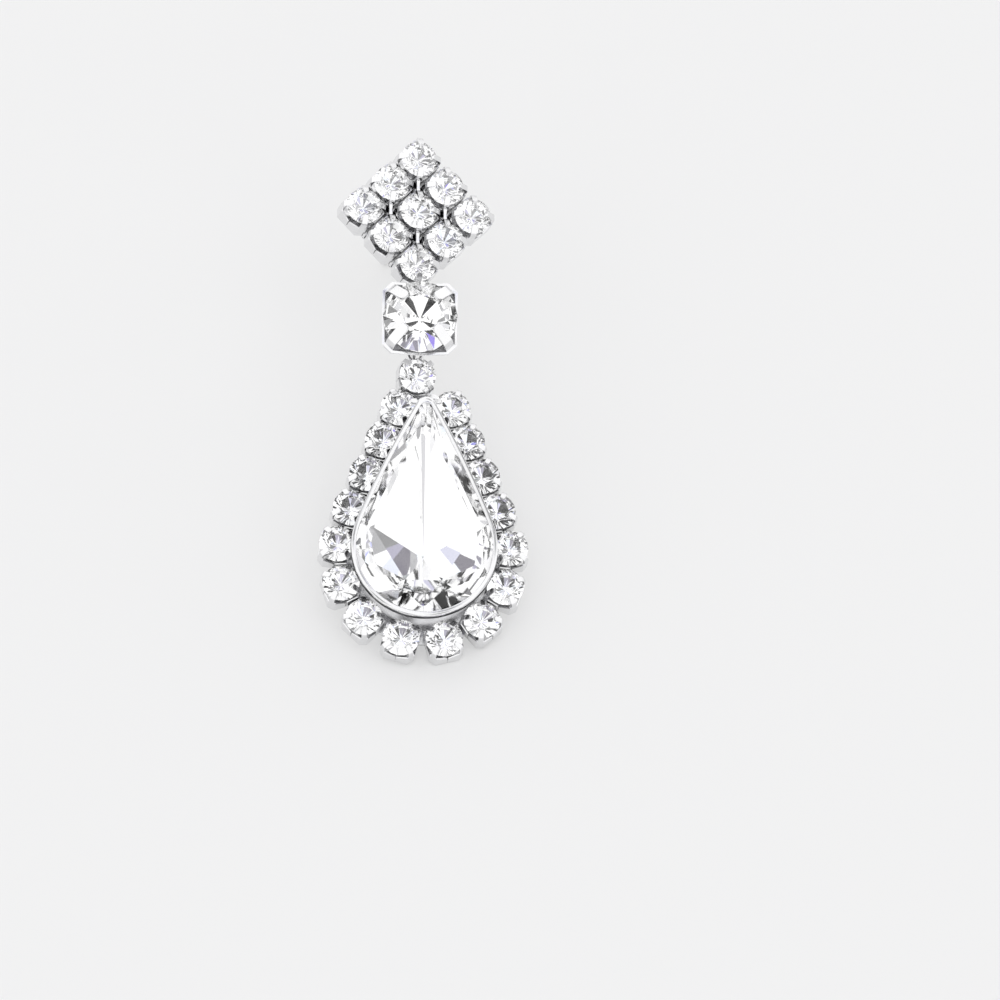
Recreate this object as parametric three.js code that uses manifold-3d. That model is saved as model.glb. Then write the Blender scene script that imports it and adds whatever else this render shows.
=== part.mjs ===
// Teardrop drop earring, one of a pair, lying on its back with its stud post under the top cluster.
// The earring frame has x to the right, y from the drop towards the cluster and z out of the face.
// Its origin is the middle of the pear stone's round end, on the plane of the cups' backs.

import * as THREE from 'three';
import { ConvexGeometry } from 'three/addons/geometries/ConvexGeometry.js';
import { ConvexHull } from 'three/addons/math/ConvexHull.js';
import { mergeVertices } from 'three/addons/utils/BufferGeometryUtils.js';
import Module from 'manifold-3d';

const wasm = await Module();
wasm.setup();

// Sizes in millimetres, angles in degrees

// Clearance between a stone and its metal, and between two parts that are glued
const seatGap = 0.07;
const glueGap = 0.05;

// Small round stones, all alike
const smallDiameter = 3.06;
const smallTable = 1.66;
const smallCrown = 0.6;
const smallGirdle = 0.1;
const smallPavilion = 1.5;

// Small square cups with a prong at each corner
const smallCup = 3.1;
const smallCornerCut = 0.4;
const smallWall = 0.28;
const smallWallDrop = 0.5;
const smallFloor = 0.45;
const smallProngWidth = 0.44;
const smallProngFoot = 0.56;
const smallProngThickness = 0.22;
const smallProngLap = 0.5;

// Large round stone
const largeDiameter = 6.2;
const largeTable = 3.3;
const largeCrown = 1.15;
const largeGirdle = 0.16;
const largePavilion = 2.25;
const largeGirdleHeight = 3.9;

// Large square setting, tapered to its back, with a strap prong at each cut corner
const largeSide = 6.3;
const largeTaper = 0.95;
const largeCornerCut = 0.8;
const largeWall = 0.3;
const largeBack = 1.1;
const largeFloor = 0.35;
const largeWallHeight = 3.3;
const largeProngWidth = 0.9;
const largeProngFoot = 1.3;
const largeProngThickness = 0.32;
const largeProngLap = 1.35;
const largeOffset = -0.62;

// Pear stone: the round end, the tip and the slightly bowed sides
const pearRadius = 5.75;
const pearTip = 12.65;
const pearTipRadius = 0.55;
const pearSideRadius = 90;
const pearTableInset = 1.35;
const pearCrown = 0.95;
const pearGirdle = 0.15;
const pearRingInset = 2.4;
const pearRingDepth = 1.5;
const pearPavilion = 2.75;
const pearGirdleHeight = 3.3;

// Rimmed cup of the pear stone
const rimOut = 0.3;
const rimLap = 0.15;
const rimLip = 0.14;
const rimDrop = 0.4;
const cupNeckInset = 0.6;
const cupNeckDrop = 0.85;
const cupBackInset = 1.5;
const cupWall = 0.32;
const plateOut = 2.2;

// Halo of small stones round the pear stone
const haloOut = 1.37;
const haloSink = 0.55;
const haloFlare = 1.9;
const haloTopDrop = 0.65;
const haloSpread = 1.15;
const haloGap = 0.045;

// The small stones' girdles lie this far under the pear's, so that its rim passes over their edges
const haloStep = 1.1;
const smallGirdleHeight = pearGirdleHeight - haloStep;
const smallWallHeight = smallGirdleHeight - smallWallDrop;

// Small stone over the tip of the drop
const topOffset = -0.95;
const topGap = 0.04;
const topRoll = 7;

// Three by three cluster, standing on a corner
const clusterSide = 3;
const clusterPitch = 3.28;
const clusterOffset = -1.06;
const clusterRoll = 10;

// Air between the settings where their rims come closest
const largeGap = 0.39;
const clusterGap = 0.71;

// A prong's foot: its depth, and how far it starts below the wall's top, both in thicknesses of the prong
const prongFootDepth = 1.4;
const prongFootSink = 1.6;

// Wire eyes and the oval rings that link them
const eyeRadius = 0.5;
const eyeWire = 0.32;
const eyeSeat = 0.42;
const eyeHeight = 0.5;
const eyeSink = 0.18;
const eyeSpacing = 0.08;
const linkWire = 0.32;
const linkWidth = 1.1;
const linkSlack = 0.12;

// Stud post with its round pad
const padDiameter = 6;
const padThickness = 0.5;
const padBevel = 0.15;
const postDiameter = 0.8;
const postLength = 10;
const postRounding = [[0, 0], [0.5, 0.13], [0.87, 0.5], [1, 1]];

// Facets and sides of round pieces
const girdleSides = 16;
const tableSides = 8;
const starShare = 0.45;
const roundEndSteps = 12;
const sideSteps = 4;
const tipSteps = 3;
const wireSides = 6;
const ringSteps = 14;
const postSides = 16;

// A hull face can be the resting side only when it points down at least this much
const restingDown = 0.8;

const silver = { color: 0xc9ccd1, roughness: 0.2, metalness: 1 };
const crystal = { color: 0xf1f4fa, roughness: 0.04, metalness: 0 };

const radians = THREE.MathUtils.degToRad;

// Solid modelling helpers

function toSolid(geometry) {
  const bare = geometry.clone();
  bare.deleteAttribute('normal');
  bare.deleteAttribute('uv');
  const merged = mergeVertices(bare, 1e-5);
  return new wasm.Manifold(
    new wasm.Mesh({
      numProp: 3,
      vertProperties: new Float32Array(merged.attributes.position.array),
      triVerts: new Uint32Array(merged.index.array),
    }),
  );
}

function toGeometry(solid) {
  const mesh = solid.getMesh();
  const geometry = new THREE.BufferGeometry();
  geometry.setAttribute('position', new THREE.BufferAttribute(new Float32Array(mesh.vertProperties), 3));
  geometry.setIndex(new THREE.BufferAttribute(new Uint32Array(mesh.triVerts), 1));
  geometry.computeVertexNormals();
  return geometry;
}

function joined(geometries) {
  return geometries.map(toSolid).reduce((whole, solid) => whole.add(solid));
}

function piece(name, geometry, look, matrix = new THREE.Matrix4()) {
  const mesh = new THREE.Mesh(geometry, new THREE.MeshStandardMaterial(look));
  mesh.name = name;
  mesh.applyMatrix4(matrix);
  return mesh;
}

function at(x, y, z = 0, turn = 0, roll = 0) {
  return new THREE.Matrix4()
    .makeTranslation(x, y, z)
    .multiply(new THREE.Matrix4().makeRotationZ(turn))
    .multiply(new THREE.Matrix4().makeRotationY(roll));
}

function raised(matrix, z) {
  return matrix.clone().multiply(new THREE.Matrix4().makeTranslation(0, 0, z));
}

// Skin through closed loops of equally many points, each given as a list of vectors
function skin(loops, closedRound) {
  const count = loops[0].length;
  const points = loops.flat();
  const faces = [];
  const last = closedRound ? loops.length : loops.length - 1;
  for (let row = 0; row < last; row += 1) {
    const next = (row + 1) % loops.length;
    for (let i = 0; i < count; i += 1) {
      const j = (i + 1) % count;
      const [a, b] = [row * count + i, row * count + j];
      const [c, d] = [next * count + j, next * count + i];
      faces.push(a, b, c, a, c, d);
    }
  }
  if (!closedRound) {
    const flat = loops.map((loop) => loop.map((p) => new THREE.Vector2(p.x, p.y)));
    const top = loops.length - 1;
    for (const [a, b, c] of THREE.ShapeUtils.triangulateShape(flat[0], [])) {
      faces.push(c, b, a);
    }
    for (const [a, b, c] of THREE.ShapeUtils.triangulateShape(flat[top], [])) {
      faces.push(top * count + a, top * count + b, top * count + c);
    }
  }
  const geometry = new THREE.BufferGeometry().setFromPoints(points);
  geometry.setIndex(faces);
  geometry.computeVertexNormals();
  return geometry;
}

// Round stones: octagonal table, star and kite facets, girdle and a pointed back

const smallStone = {
  radius: smallDiameter / 2,
  table: smallTable / 2,
  crown: smallCrown,
  girdle: smallGirdle,
  pavilion: smallPavilion,
  height: smallGirdleHeight,
};

const largeStone = {
  radius: largeDiameter / 2,
  table: largeTable / 2,
  crown: largeCrown,
  girdle: largeGirdle,
  pavilion: largePavilion,
  height: largeGirdleHeight,
};

function ring(radius, z, sides, phase = 0) {
  return Array.from({ length: sides }, (_, i) => {
    const angle = ((i + phase) / sides) * 2 * Math.PI;
    return new THREE.Vector3(radius * Math.cos(angle), radius * Math.sin(angle), z);
  });
}

// The stars' outer corners lie on the planes of the kites, which run from the table to the girdle
function roundStone(stone) {
  const top = stone.girdle + stone.crown;
  const starRadius = stone.table + (stone.radius - stone.table) * starShare;
  const kiteFall = (starRadius * Math.cos(Math.PI / tableSides) - stone.table) / (stone.radius - stone.table);
  const starHeight = top - stone.crown * Math.max(kiteFall, 0.1);
  return new ConvexGeometry([
    ...ring(stone.table, top, tableSides),
    ...ring(starRadius, starHeight, tableSides, 0.5),
    ...ring(stone.radius, stone.girdle, girdleSides),
    ...ring(stone.radius, 0, girdleSides),
    new THREE.Vector3(0, 0, -stone.pavilion),
  ]);
}

// Prongs: a leaning strap from a cup's corner, bent over the crown of its stone

function prong(stone, setting) {
  const slant = new THREE.Vector2(stone.table - stone.radius, stone.crown).normalize();
  const out = new THREE.Vector2(slant.y, -slant.x);
  const edge = new THREE.Vector2(stone.radius, stone.height + stone.girdle);
  const onCrown = (lift, radius) => {
    const start = edge.clone().addScaledVector(out, lift);
    return start.addScaledVector(slant, (radius - start.x) / slant.x);
  };
  const inner = stone.radius + seatGap;
  const outer = inner + setting.prongThickness;
  const tip = stone.radius - setting.prongLap;
  const footDepth = setting.prongThickness * prongFootDepth;
  const outline = [
    new THREE.Vector2(setting.corner, setting.prongFootHeight),
    onCrown(seatGap + setting.prongThickness, outer),
    onCrown(seatGap + setting.prongThickness, tip),
    onCrown(seatGap, tip),
    onCrown(seatGap, inner),
    new THREE.Vector2(setting.corner - footDepth, setting.prongFootHeight),
  ];
  const geometry = new THREE.ExtrudeGeometry(new THREE.Shape(outline), { depth: 1, bevelEnabled: false });
  const position = geometry.attributes.position;
  for (let i = 0; i < position.count; i += 1) {
    const atFoot = position.getY(i) < setting.prongFootHeight + 1e-4;
    const width = atFoot ? setting.prongFoot : setting.prongWidth;
    position.setZ(i, (position.getZ(i) - 0.5) * width);
  }
  return geometry.rotateX(Math.PI / 2);
}

// How far a bent prong reaches out from its stone's middle
function prongReach(stone, setting) {
  return stone.radius + seatGap + setting.prongThickness;
}

const smallSetting = {
  corner: (smallCup - smallCornerCut) * Math.SQRT1_2,
  prongWidth: smallProngWidth,
  prongFoot: smallProngFoot,
  prongThickness: smallProngThickness,
  prongLap: smallProngLap,
  prongFootHeight: smallWallHeight - smallProngThickness * prongFootSink,
};

const largeSetting = {
  corner: (largeSide - largeCornerCut) * Math.SQRT1_2,
  prongWidth: largeProngWidth,
  prongFoot: largeProngFoot,
  prongThickness: largeProngThickness,
  prongLap: largeProngLap,
  prongFootHeight: largeWallHeight - largeProngThickness * prongFootSink,
};

const quarters = [0.25, 0.75, 1.25, 1.75].map((turn) => turn * Math.PI);

function prongs(stone, setting, matrix) {
  const one = prong(stone, setting);
  return quarters.map((angle) => one.clone().rotateZ(angle).applyMatrix4(matrix));
}

function cutSquare(half, cut, z) {
  const short = half - cut;
  const corners = [
    [half, -short], [half, short], [short, half], [-short, half],
    [-half, short], [-half, -short], [-short, -half], [short, -half],
  ];
  return corners.map(([x, y]) => new THREE.Vector3(x, y, z));
}

function smallBlock(matrix) {
  const half = smallCup / 2;
  const loops = [0, smallWallHeight].map((z) => cutSquare(half, smallCornerCut, z));
  return skin(loops, false).applyMatrix4(matrix);
}

function smallPocket(matrix) {
  const half = smallCup / 2 - smallWall;
  const loops = [smallFloor, smallGirdleHeight].map((z) => cutSquare(half, smallCornerCut, z));
  return skin(loops, false).applyMatrix4(matrix);
}

// Wire eyes stand upright along the earring, and the links lie flat through two of them

const eyeOuter = eyeRadius + eyeWire / 2;

function eye(x, y, z) {
  return new THREE.TorusGeometry(eyeRadius, eyeWire / 2, wireSides, ringSteps)
    .rotateZ(Math.PI / ringSteps)
    .rotateY(Math.PI / 2)
    .translate(x, y, z);
}

function link(name, lower, upper) {
  const radius = linkWidth / 2;
  const stretch = lower.distanceTo(upper) + linkSlack - linkWidth;
  const geometry = new THREE.TorusGeometry(radius, linkWire / 2, wireSides, ringSteps);
  geometry.rotateZ(Math.PI / ringSteps);
  const position = geometry.attributes.position;
  for (let i = 0; i < position.count; i += 1) {
    position.setY(i, position.getY(i) + (Math.sign(position.getY(i)) * stretch) / 2);
  }
  const along = upper.clone().sub(lower).normalize();
  const matrix = new THREE.Matrix4().makeRotationFromQuaternion(
    new THREE.Quaternion().setFromUnitVectors(new THREE.Vector3(0, 1, 0), along),
  );
  matrix.setPosition(lower.clone().add(upper).multiplyScalar(0.5));
  return piece(name, geometry, silver, matrix);
}

// Teardrop outline: two round ends joined by bowed sides that meet both without a corner

const tipMiddle = pearTip - pearTipRadius;
const bowReach = pearSideRadius - pearRadius;
const bowFall = bowReach ** 2 - (pearSideRadius - pearTipRadius) ** 2;
const bowY = (bowFall + tipMiddle ** 2) / (2 * tipMiddle);
const bowX = -Math.sqrt(bowReach ** 2 - bowY ** 2);
const bowStart = Math.atan2(-bowY, -bowX);
const bowEnd = Math.atan2(tipMiddle - bowY, -bowX);

function arc(x, y, radius, from, to, steps) {
  return Array.from({ length: steps }, (_, i) => {
    const angle = from + ((to - from) * i) / steps;
    return new THREE.Vector2(x + radius * Math.cos(angle), y + radius * Math.sin(angle));
  });
}

// Outwards the outline keeps its distance all round; inwards it shrinks on the middle of its round end
function pearLoop(offset, z) {
  const grown = Math.max(offset, 0);
  const shrink = offset < 0 ? (pearRadius + offset) / pearRadius : 1;
  const right = [
    ...arc(0, 0, pearRadius + grown, -Math.PI / 2, bowStart, roundEndSteps),
    ...arc(bowX, bowY, pearSideRadius + grown, bowStart, bowEnd, sideSteps),
    ...arc(0, tipMiddle, pearTipRadius + grown, bowEnd, Math.PI / 2, tipSteps),
  ];
  const tip = new THREE.Vector2(0, pearTip + grown);
  const left = right.slice(1).reverse().map((p) => new THREE.Vector2(-p.x, p.y));
  return [...right, tip, ...left].map((p) => new THREE.Vector3(p.x * shrink, p.y * shrink, z));
}

function everyOther(loop, first) {
  return loop.filter((_, i) => i % 2 === first);
}

function pearStone() {
  const girdleTop = pearGirdleHeight + pearGirdle;
  return new ConvexGeometry([
    ...everyOther(pearLoop(-pearTableInset, girdleTop + pearCrown), 1),
    ...pearLoop(0, girdleTop),
    ...pearLoop(0, pearGirdleHeight),
    ...everyOther(pearLoop(-pearRingInset, pearGirdleHeight - pearRingDepth), 0),
    new THREE.Vector3(0, 0, pearGirdleHeight - pearPavilion),
  ]);
}

// The rim laps over the stone's edge, and the wall under it draws in so that the halo tucks beneath
function pearCup() {
  const rimTop = pearGirdleHeight + pearGirdle + (rimLap * pearCrown) / pearTableInset + seatGap + rimLip;
  const rimFoot = pearGirdleHeight - rimDrop;
  const neck = pearGirdleHeight - cupNeckDrop;
  const innerNeck = cupNeckInset + cupWall;
  const innerBack = cupBackInset + cupWall;
  const loops = [
    pearLoop(-innerBack, 0),
    pearLoop(-cupBackInset, 0),
    pearLoop(-cupNeckInset, neck),
    pearLoop(rimOut, rimFoot),
    pearLoop(rimOut, rimTop - rimLip),
    pearLoop(rimOut / 2, rimTop),
    pearLoop(-rimLap, rimTop),
    pearLoop(-rimLap, rimTop - rimLip),
    pearLoop(seatGap, pearGirdleHeight + pearGirdle + seatGap),
    pearLoop(seatGap, pearGirdleHeight - seatGap),
    pearLoop(-innerNeck, neck - seatGap),
  ];
  return skin(loops, true);
}

function backPlate() {
  return skin([pearLoop(plateOut, 0), pearLoop(plateOut, smallFloor)], false);
}

// The halo's middle line: a round end, then straight sides up to beside the tip

const haloRadius = pearRadius + haloOut;
const haloLean = (bowStart + bowEnd) / 2 - radians(haloFlare);
const haloRound = haloRadius * (Math.PI / 2 + haloLean);
const haloTurnY = haloRadius * Math.sin(haloLean) - haloSink;
const haloTopY = pearTip + rimOut - haloTopDrop;
const haloLength = haloRound + (haloTopY - haloTurnY) / Math.cos(haloLean);

function haloPlace(distance) {
  const round = Math.min(distance, haloRound);
  const straight = distance - round;
  const angle = round / haloRadius - Math.PI / 2;
  return {
    x: haloRadius * Math.cos(angle) - straight * Math.sin(haloLean),
    y: haloRadius * Math.sin(angle) - haloSink + straight * Math.cos(haloLean),
    turn: angle,
  };
}

// Steps between stones, in shares of the closest step, widen from the top to the round end
function haloSteps(count) {
  return Array.from({ length: count }, (_, i) => {
    const widening = 1 + (haloSpread - 1) * (1 - i / Math.max(count - 1, 1));
    return i === 0 ? widening / 2 : widening;
  });
}

function total(steps) {
  return steps.reduce((sum, step) => sum + step, 0);
}

function haloSide() {
  let count = 1;
  while (haloLength / total(haloSteps(count + 1)) >= smallDiameter + haloGap) {
    count += 1;
  }
  const steps = haloSteps(count);
  const unit = haloLength / total(steps);
  let distance = 0;
  return steps.map((step) => {
    distance += step * unit;
    return haloPlace(distance);
  });
}

const haloRight = haloSide();
const haloLast = haloRight[haloRight.length - 1];
const haloSpots = [
  ...[...haloRight].reverse(),
  ...haloRight.map((spot) => ({ x: -spot.x, y: spot.y, turn: Math.PI - spot.turn })),
].map((spot) => at(spot.x, spot.y, 0, spot.turn));

// The stone over the tip lies against the halo's two top stones, a little to the left

const topReach = smallDiameter + topGap;
const topAside = haloLast.x - Math.abs(topOffset);
const topY = haloLast.y + Math.sqrt(Math.max(topReach ** 2 - topAside ** 2, 0));
const topSpot = at(topOffset, topY, 0, 0, radians(topRoll));

// Places along the earring: each setting starts where the air over the last one ends

function largeHalfAt(z) {
  const share = (z - largeBack) / (largeWallHeight - largeBack);
  return largeSide / 2 - largeTaper * (1 - Math.min(Math.max(share, 0), 1));
}

const smallProngTop = smallGirdleHeight + smallGirdle;
const smallReach = prongReach(smallStone, smallSetting);
const topCupReach = (smallReach + smallProngWidth / 2) * Math.SQRT1_2;
const largeY = topY + topCupReach + largeGap + largeHalfAt(smallProngTop);
const clusterReach = ((clusterSide - 1) * clusterPitch * Math.SQRT2) / 2;
const clusterCorner = clusterReach + smallSetting.corner;
const clusterLow = largeY + largeHalfAt(smallProngTop) + clusterGap + smallReach;
const clusterY = clusterLow + clusterReach;

const dropEye = new THREE.Vector3(topOffset, topY + smallCup / 2 + eyeSeat, eyeHeight);
const clusterEye = new THREE.Vector3(clusterOffset, clusterY - clusterCorner - eyeSeat, eyeHeight);
const largeEyeHeight = largeBack + eyeSink - eyeOuter;
const eyePitch = 2 * eyeOuter + eyeSpacing;
const lowerEye = new THREE.Vector3(largeOffset, dropEye.y + eyePitch, largeEyeHeight);
const upperEye = new THREE.Vector3(largeOffset, clusterEye.y - eyePitch, largeEyeHeight);

// Drop: pear cup, halo cups, top cup and its eye, soldered on one back plate

function dropSetting() {
  const spots = [...haloSpots, topSpot];
  const body = joined([pearCup(), backPlate(), ...spots.map(smallBlock), eye(...dropEye)]);
  const hollow = body.subtract(joined(spots.map(smallPocket)));
  const tabs = joined(spots.flatMap((spot) => prongs(smallStone, smallSetting, spot)));
  return toGeometry(hollow.add(tabs));
}

function drop() {
  const group = new THREE.Group();
  group.add(piece('drop_setting', dropSetting(), silver));
  group.add(piece('pear_stone', pearStone(), crystal));
  const small = roundStone(smallStone);
  group.add(piece('top_stone', small, crystal, raised(topSpot, smallGirdleHeight)));
  haloSpots.forEach((spot, i) => {
    const name = `halo_stone_${String(i + 1).padStart(2, '0')}`;
    group.add(piece(name, small, crystal, raised(spot, smallGirdleHeight)));
  });
  return group;
}

// Large round stone in its tapered square setting

function largeShell() {
  const base = largeSide / 2 - largeTaper;
  const cutBase = (largeCornerCut * base) / (largeSide / 2);
  const outside = toSolid(skin([
    cutSquare(base, cutBase, largeBack),
    cutSquare(largeSide / 2, largeCornerCut, largeWallHeight),
  ], false));
  const floor = largeBack + largeFloor;
  const rise = (largeTaper * largeFloor) / (largeWallHeight - largeBack);
  const inside = toSolid(skin([
    cutSquare(base + rise - largeWall, cutBase, floor),
    cutSquare(largeSide / 2 - largeWall, largeCornerCut, largeWallHeight + seatGap),
  ], false));
  return outside.subtract(inside);
}

function large() {
  const group = new THREE.Group();
  const spot = at(largeOffset, largeY);
  const eyes = joined([eye(0, lowerEye.y - largeY, lowerEye.z), eye(0, upperEye.y - largeY, upperEye.z)]);
  const straps = joined(prongs(largeStone, largeSetting, new THREE.Matrix4()));
  group.add(piece('large_setting', toGeometry(largeShell().add(straps).add(eyes)), silver, spot));
  group.add(piece('large_stone', roundStone(largeStone), crystal, raised(spot, largeGirdleHeight)));
  return group;
}

// Cluster: rows of cups soldered on a square plate that stands on its corner, with the post's pad
// glued to its back

function clusterSpots() {
  const middle = (clusterSide - 1) / 2;
  const spots = [];
  for (let row = 0; row < clusterSide; row += 1) {
    for (let column = 0; column < clusterSide; column += 1) {
      spots.push(at((column - middle) * clusterPitch, (row - middle) * clusterPitch));
    }
  }
  return spots;
}

const diamond = new THREE.Matrix4().makeRotationZ(Math.PI / 4);

function clusterSetting() {
  const spots = clusterSpots();
  const side = (clusterSide - 1) * clusterPitch + smallCup - 2 * smallCornerCut;
  const plate = new THREE.BoxGeometry(side, side, smallFloor).translate(0, 0, smallFloor / 2);
  const hollow = joined([plate, ...spots.map(smallBlock)]).subtract(joined(spots.map(smallPocket)));
  const tabs = joined(spots.flatMap((spot) => prongs(smallStone, smallSetting, spot)));
  const cups = toGeometry(hollow.add(tabs)).applyMatrix4(diamond);
  return toGeometry(toSolid(cups).add(toSolid(eye(0, clusterEye.y - clusterY, clusterEye.z))));
}

function earPost() {
  const pad = padDiameter / 2;
  const post = postDiameter / 2;
  const back = glueGap + padThickness;
  const end = back + postLength;
  const profile = [
    ...postRounding.map(([across, up]) => [post * across, -end + post * up]),
    [post, -back],
    [pad - padBevel, -back],
    [pad, -back + padBevel],
    [pad, -glueGap],
    [0, -glueGap],
  ];
  return new THREE.LatheGeometry(profile.map(([x, y]) => new THREE.Vector2(x, y)), postSides).rotateX(Math.PI / 2);
}

function cluster() {
  const group = new THREE.Group();
  group.add(piece('cluster_setting', clusterSetting(), silver));
  const small = roundStone(smallStone);
  clusterSpots().forEach((spot, i) => {
    const placed = raised(diamond.clone().multiply(spot), smallGirdleHeight);
    group.add(piece(`cluster_stone_${i + 1}`, small, crystal, placed));
  });
  group.add(piece('ear_post', earPost(), silver));
  group.rotateY(radians(clusterRoll));
  group.position.set(clusterOffset, clusterY, clusterEye.z);
  group.translateZ(-clusterEye.z);
  return group;
}

// The earring at rest: the face of its convex hull that its weight falls on lies on the ground

function worldPoints(mesh) {
  const geometry = mesh.geometry.index ? mesh.geometry.toNonIndexed() : mesh.geometry;
  const position = geometry.attributes.position;
  return Array.from({ length: position.count }, (_, i) =>
    new THREE.Vector3().fromBufferAttribute(position, i).applyMatrix4(mesh.matrixWorld));
}

function weightAndPoints(group) {
  group.updateMatrixWorld(true);
  const points = [];
  const weight = new THREE.Vector3();
  let volume = 0;
  group.traverse((mesh) => {
    if (!mesh.isMesh) return;
    const corners = worldPoints(mesh);
    points.push(...corners);
    for (let i = 0; i < corners.length; i += 3) {
      const [a, b, c] = corners.slice(i, i + 3);
      const share = a.dot(b.clone().cross(c)) / 6;
      volume += share;
      weight.addScaledVector(a.clone().add(b).add(c), share / 4);
    }
  });
  return { points, centre: weight.divideScalar(volume) };
}

function layDown(group) {
  const { points, centre } = weightAndPoints(group);
  let best = { inside: -Infinity, down: new THREE.Vector3(0, 0, -1) };
  for (const face of new ConvexHull().setFromPoints(points).faces) {
    if (face.normal.z > -restingDown) continue;
    const corners = [face.getEdge(0), face.getEdge(1), face.getEdge(2)].map((edge) => edge.head().point);
    const inside = Math.min(...corners.map((corner, i) => {
      const side = corners[(i + 1) % 3].clone().sub(corner);
      return side.cross(centre.clone().sub(corner)).dot(face.normal);
    }));
    if (inside > best.inside) {
      best = { inside, down: face.normal.clone() };
    }
  }
  group.quaternion.setFromUnitVectors(best.down, new THREE.Vector3(0, 0, -1));
  const box = new THREE.Box3().setFromObject(group, true);
  const middle = box.getCenter(new THREE.Vector3());
  group.position.set(-middle.x, -middle.y, -box.min.z);
  group.updateMatrixWorld(true);
  return group;
}

const earring = new THREE.Group();
earring.add(drop(), large(), cluster());
earring.add(link('lower_link', dropEye, lowerEye), link('upper_link', upperEye, clusterEye));

export default layDown(earring);
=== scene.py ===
"""Dresses the teardrop earring: stamped silver cups, bent prongs, foiled cut stones and a pale studio."""

import math

import bmesh
import bpy
from mathutils import Matrix, Vector


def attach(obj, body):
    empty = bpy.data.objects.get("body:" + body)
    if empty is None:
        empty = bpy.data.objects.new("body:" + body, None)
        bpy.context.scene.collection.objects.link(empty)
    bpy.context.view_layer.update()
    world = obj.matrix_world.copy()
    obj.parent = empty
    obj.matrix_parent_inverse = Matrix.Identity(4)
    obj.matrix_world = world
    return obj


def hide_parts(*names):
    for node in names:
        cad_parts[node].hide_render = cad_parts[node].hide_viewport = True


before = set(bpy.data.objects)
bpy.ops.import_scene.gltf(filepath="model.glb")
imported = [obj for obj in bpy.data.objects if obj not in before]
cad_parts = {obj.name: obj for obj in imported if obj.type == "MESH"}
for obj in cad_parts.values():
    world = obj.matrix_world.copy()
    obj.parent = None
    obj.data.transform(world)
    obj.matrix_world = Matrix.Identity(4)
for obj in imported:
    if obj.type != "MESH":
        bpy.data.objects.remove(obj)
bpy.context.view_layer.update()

# Round stones in millimetres, as the solids have them: height is the girdle's over the cup's back

MM = 0.001
SMALL = {"radius": 1.53, "table": 0.83, "crown": 0.6, "girdle": 0.1, "pavilion": 1.5, "height": 2.2}
LARGE = {"radius": 3.1, "table": 1.65, "crown": 1.15, "girdle": 0.16, "pavilion": 2.25, "height": 3.9}

# Their cut: the table's corners stand a little out of its radius, and the back ends in a blunt point

TABLE_SIDES = 8
GIRDLE_SIDES = 16
TABLE_CORNER = 0.06
BLUNT_POINT = {"radius_share": 0.05, "depth_share": 0.9}

# How far a table's normal points up at least, and how far a foiled facet's points down

TABLE_TILT = 0.3
FOIL_TILT = -0.05

# Hand-set stones: each is turned on from the last and leans a little its own way
# Turns and lean are in degrees, and the step of the lean's direction is in radians

STONE_TURN = 37
STONE_TURN_LIMIT = 45
STONE_LEAN = 1.6
STONE_LEAN_STEP = 2.4

# Square cups: half their width, the sheet's thickness, and the heights and cuts of their walls

SMALL_CUP = {
    "half": 1.46, "cut": 0.46, "sheet": 0.13, "floor": 0.3,
    "notch": 1.15, "shoulder": 1.75, "slit": 0.03,
}
CLUSTER_CUP = {**SMALL_CUP, "half": 1.54, "cut": 0.5}
LARGE_CUP = {
    "half": 3.15, "cut": 0.8, "sheet": 0.28, "base": 2.2, "back": 1.1,
    "floor": 1.45, "wall": 3.15, "corner": 3.62, "ease": 0.1,
}
INNER_CUT_SHARE = 0.2
FLOOR_INSET = 0.02

# Prongs: seat is their gap to the stone, lap how far they reach over it, foot the height they start at

SEAT = 0.05
SMALL_PRONG = {"width": 0.44, "thick": 0.17, "lap": 0.55, "foot": 1.3}
CLUSTER_PRONG = {**SMALL_PRONG, "width": 0.48, "thick": 0.27}
LARGE_PRONG = {"width": 0.9, "thick": 0.28, "lap": 1.4, "foot": 2.9}
PRONG_BEND_SHARE = 0.9
PRONG_BEND_STEPS = 6
PRONG_TIP = [
    # share of the way to the tip, share of the width
    (0.45, 1.0),
    (0.8, 0.97),
    (0.92, 0.8),
    (1.0, 0.45),
]

# Cluster: the way from cup to cup and from the last cup to the corner, and the plate behind them
# Solder fills the seams, and the touching prongs where four cups meet are narrow at their waist

CLUSTER_PITCH = 3.28
CLUSTER_CORNER = 1.35
CLUSTER_PLATE = {"edge": 1.15, "thick": 0.2}
SOLDER = {"width": 0.24, "height": 0.8}
BRIDGE = {
    "reach": 0.74, "shoulder": 0.8, "width": 0.36, "waist": 0.24,
    "thick": 0.22, "height": 2.0, "sag": 0.08, "foot": 1.5,
}

# Pear stone: heights over the cups' backs, and places from the middle of its round end

PEAR_RADIUS = 5.75
PEAR_TIP = 12.65
PEAR_TIP_RADIUS = 0.55
PEAR_SIDE_RADIUS = 90
PEAR_GIRDLE_HEIGHT = 3.3
PEAR_GIRDLE = 0.15
PEAR_EDGE_HEIGHT = PEAR_GIRDLE_HEIGHT + PEAR_GIRDLE
PEAR_CROWN = 0.95
PEAR_TABLE_INSET = 1.35
PEAR_BELLY = {"inset": 1.1, "depth": 0.85}
PEAR_KEEL = [
    # along the stone, depth under the girdle
    (8.2, 1.2),
    (-0.6, 2.75),
]
PEAR_LOW_CORNER = {"aside": 1.5, "along": -2.5, "depth": 2.25}

# Steps on the pear's round end, its side and its tip: the metal's, the stone's and the stone's belly's

METAL_STEPS = (28, 14, 10)
GEM_STEPS = (5, 2, 1)
BELLY_STEPS = (3, 1, 1)

# The pear's rim, up its outside and down its inside
# Its outer foot has a painted shadow as far as the groove's depth under the girdle

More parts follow.
